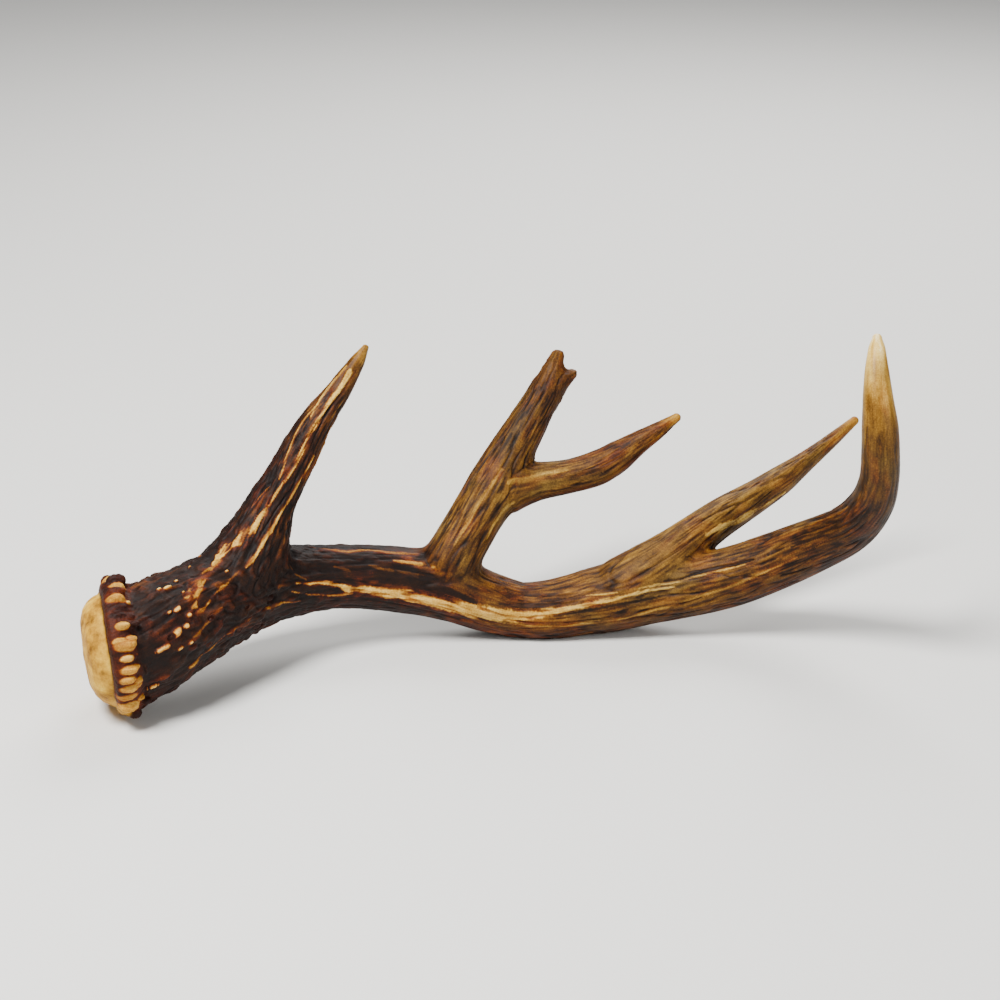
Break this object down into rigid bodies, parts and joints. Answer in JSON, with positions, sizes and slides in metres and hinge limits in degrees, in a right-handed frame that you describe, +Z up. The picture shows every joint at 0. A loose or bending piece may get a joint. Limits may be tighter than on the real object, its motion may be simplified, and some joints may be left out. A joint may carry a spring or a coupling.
{
  "type": "deer antler",
  "caption": "Shed deer antler lying on its burr and beam: beaded burr with a convex seal, curved beam, brow tine, forked tine, third tine and a polished upturned end.",
  "frame": {"origin": "centre of the footprint, on the surface that the antler lies on", "axes": "+X along the beam from the burr towards the curled end, +Z up, tines up; the seal faces -X and the middle of the beam bows towards +Y"},
  "size_m": [0.347, 0.1795, 0.1529],
  "materials": {
    "stained_antler": "rough, beaded antler stained near-black brown, with worn cream ridges",
    "grooved_antler": "grey-brown antler with fine lengthwise gutters, slightly satin on the ridges",
    "polished_antler": "smooth antler worn to a soft polish, golden brown running to ivory at the tip"
  },
  "bodies": {
    "root": {"base_and_burr": "stained_antler", "brow_tine": "stained_antler", "lower_beam": "stained_antler", "forked_tine": "grooved_antler", "upper_prong": "grooved_antler", "lower_prong": "grooved_antler", "middle_beam": "grooved_antler", "third_tine": "grooved_antler", "beam_end": "polished_antler"}
  },
  "joints": []
}
